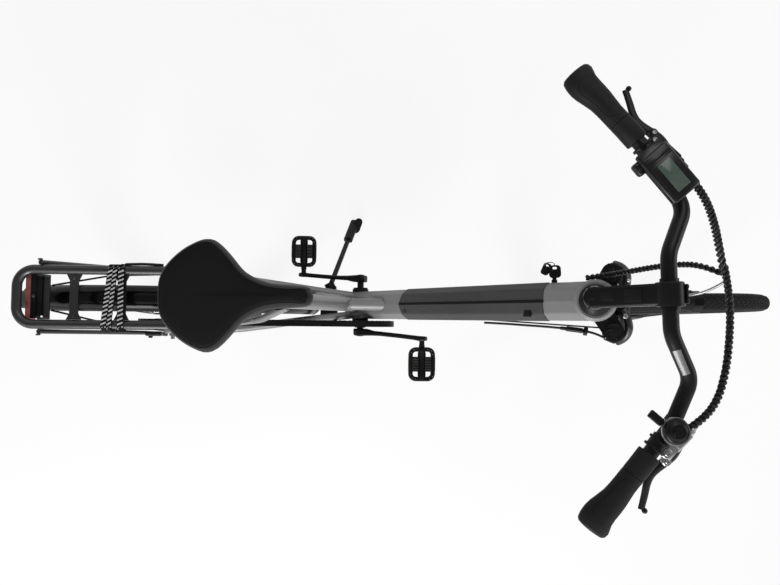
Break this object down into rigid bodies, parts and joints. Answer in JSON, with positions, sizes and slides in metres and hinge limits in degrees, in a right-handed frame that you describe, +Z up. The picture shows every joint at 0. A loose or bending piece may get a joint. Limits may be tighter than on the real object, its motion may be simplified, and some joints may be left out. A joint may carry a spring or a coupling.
{
  "type": "electric city bicycle",
  "caption": "Step-through electric city bicycle leaning on its side stand, with turning wheels, cranks, pedals, steering and a folding stand.",
  "frame": {"origin": "on the floor, under the middle of the parked bicycle's outline", "axes": "+X forward, +Y to the bicycle's left, +Z up"},
  "size_m": [1.8098, 0.6894, 1.1497],
  "materials": {
    "frame_paint": "satin metallic grey paint",
    "black_paint": "satin black paint",
    "rack_paint": "satin gunmetal paint",
    "battery_skin": "satin dark plastic",
    "black_plastic": "moulded black plastic",
    "guard_plastic": "glossy black plastic",
    "display_face": "gloss black with a pale grey panel",
    "red_lens": "red reflector plastic",
    "alloy": "brushed",
    "steel": "bright steel",
    "chain_steel": "oiled steel",
    "tyre_rubber": "matt tread rubber",
    "grip_rubber": "soft matt rubber",
    "saddle_cover": "matt synthetic leather",
    "strap_web": "black elastic webbing with grey flecks",
    "cable_jacket": "black cable jacket"
  },
  "bodies": {
    "frame": {"head_tube": "frame_paint", "down_tube": "frame_paint", "battery_pack": "battery_skin", "bottom_shell": "frame_paint", "seat_tube": "frame_paint", "brace_tube": "frame_paint", "chainstays": "frame_paint", "seatstays": "frame_paint", "seatpost": "black_paint", "saddle": "saddle_cover", "saddle_rails": "steel", "rack_loop": "rack_paint", "rack_plates": "rack_paint", "rack_struts": "rack_paint", "rack_straps": "strap_web", "rear_light": "red_lens", "light_housing": "black_plastic", "rear_guard_stays": "black_paint", "rear_mudguard": "guard_plastic", "rear_axle": "steel", "rear_brake": "alloy", "chain": "chain_steel", "chain_guard": "black_plastic", "stand_bracket": "black_paint", "motor_cable": "cable_jacket", "battery_lock": "black_plastic", "frame_cables": "cable_jacket"},
    "steering": {"fork_crown": "black_paint", "fork_knobs": "black_plastic", "fork_stanchions": "steel", "fork_lowers": "black_paint", "stem": "black_paint", "handlebar": "black_paint", "grips": "grip_rubber", "brake_levers": "black_paint", "display": "display_face", "bell": "black_plastic", "headlamp": "black_plastic", "front_axle": "steel", "front_brake": "alloy", "front_mudguard": "guard_plastic", "bar_cables": "cable_jacket", "front_guard_stays": "black_paint", "motor_lead": "cable_jacket"},
    "front_wheel": {"front_tyre": "tyre_rubber", "front_rim": "black_paint", "front_hub": "black_paint"},
    "rear_wheel": {"rear_tyre": "tyre_rubber", "rear_rim": "black_paint", "rear_hub": "steel"},
    "crank": {"crankset": "black_paint", "chainring": "black_paint"},
    "left_pedal": {"left_pedal": "black_plastic"},
    "right_pedal": {"right_pedal": "black_plastic"},
    "stand": {"stand_leg": "black_paint", "stand_foot": "grip_rubber"}
  },
  "joints": [
    {"name": "steering_turn", "type": "hinge", "parent": "frame", "child": "steering", "pos_m": [0.51689, -0.07708, 0.33192], "axis": [-0.3371, 0.0984, 0.9363], "range_deg": [-46.8, 43.2], "deforming": ["frame_cables", "motor_cable"]},
    {"name": "front_wheel_spin", "type": "hinge", "parent": "steering", "child": "front_wheel", "pos_m": [0.55698, -0.07424, 0.34606], "axis": [-0.0296, 0.9929, -0.115], "continuous": true},
    {"name": "rear_wheel_spin", "type": "hinge", "parent": "frame", "child": "rear_wheel", "pos_m": [-0.557, -0.07557, 0.3462], "axis": [0, 0.9945, -0.1045], "continuous": true},
    {"name": "crank_spin", "type": "hinge", "parent": "frame", "child": "crank", "pos_m": [-0.092, -0.08132, 0.2915], "axis": [0, 0.9945, -0.1045], "continuous": true},
    {"name": "left_pedal_spin", "type": "hinge", "parent": "crank", "child": "left_pedal", "pos_m": [-0.2468, -0.00114, 0.2077], "axis": [0, 0.9945, -0.1045], "continuous": true},
    {"name": "right_pedal_spin", "type": "hinge", "parent": "crank", "child": "right_pedal", "pos_m": [0.0628, -0.1615, 0.37531], "axis": [0, 0.9945, -0.1045], "continuous": true},
    {"name": "stand_swing", "type": "hinge", "parent": "frame", "child": "stand", "pos_m": [-0.1727, -0.0347, 0.25041], "axis": [-0.45, 0.8852, -0.1175], "range_deg": [0, 125]}
  ]
}
